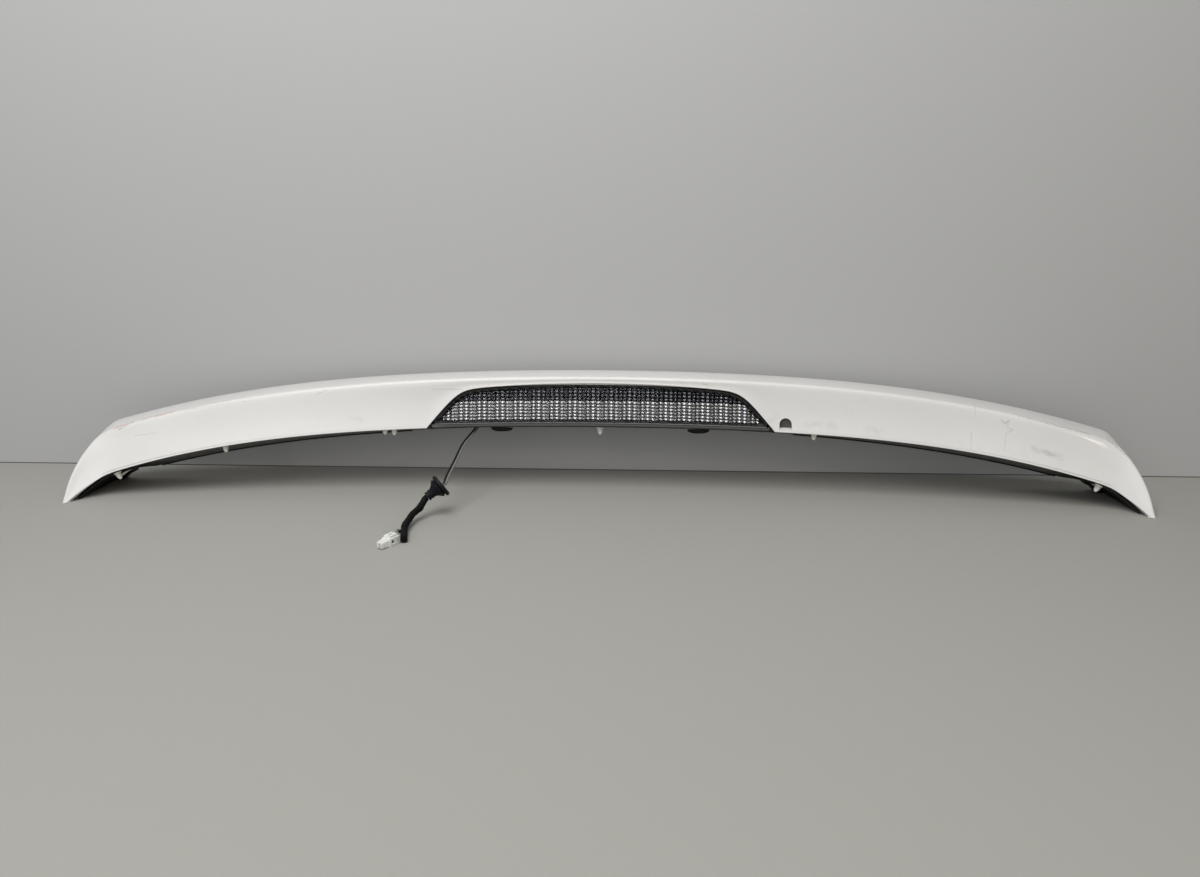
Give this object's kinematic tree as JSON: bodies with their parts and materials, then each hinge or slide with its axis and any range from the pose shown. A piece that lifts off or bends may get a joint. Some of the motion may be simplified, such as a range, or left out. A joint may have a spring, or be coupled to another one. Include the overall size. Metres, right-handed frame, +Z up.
{
  "type": "car rear spoiler",
  "caption": "Arched rear spoiler for a car tailgate: a painted skin on a grey inner panel, with a clear high stop lamp, fixing studs and a short lamp lead.",
  "frame": {"origin": "middle of the underside of the part's box, without the lamp lead: the floor that its two end walls stand on", "axes": "+Z up, X across the car, -Y towards following traffic (the face with the lamp), +Y towards the front of the car"},
  "size_m": [1.2518, 0.3013, 0.1397],
  "materials": {
    "pearl_paint": "pearl white lacquer over moulded plastic, worn",
    "grey_moulding": "grained dark grey moulding",
    "black_moulding": "black moulded plastic",
    "black_rubber": "soft black rubber",
    "lens_clear": "clear moulded optics",
    "silvered": "vacuum metallised plastic",
    "board_green": "lacquered circuit board",
    "emitter_red": "moulded light emitter",
    "plated_steel": "zinc plated steel",
    "nylon_natural": "natural nylon",
    "foam_black": "closed cell foam",
    "wire_black": "wire covering",
    "wire_grey": "wire covering",
    "tape_black": "wound cloth tape",
    "plug_white": "moulded white connector"
  },
  "bodies": {
    "root": {"outer_skin": "pearl_paint", "inner_panel": "grey_moulding", "left_end_bracket": "black_moulding", "right_end_bracket": "black_moulding", "left_edge_seal": "black_rubber", "right_edge_seal": "black_rubber", "lamp_housing": "black_moulding", "lamp_reflector": "silvered", "lamp_board": "board_green", "lamp_emitters": "emitter_red", "lamp_lens": "lens_clear", "lamp_gasket": "foam_black", "lamp_screws": "plated_steel", "mounting_studs": "plated_steel", "stud_washers": "foam_black", "retaining_clips": "nylon_natural", "left_bumper": "black_rubber", "right_bumper": "black_rubber", "wire_black": "wire_black", "wire_grey": "wire_grey", "grommet": "black_rubber", "taped_loom": "tape_black", "connector_housing": "plug_white", "connector_lock": "plug_white"}
  },
  "joints": []
}
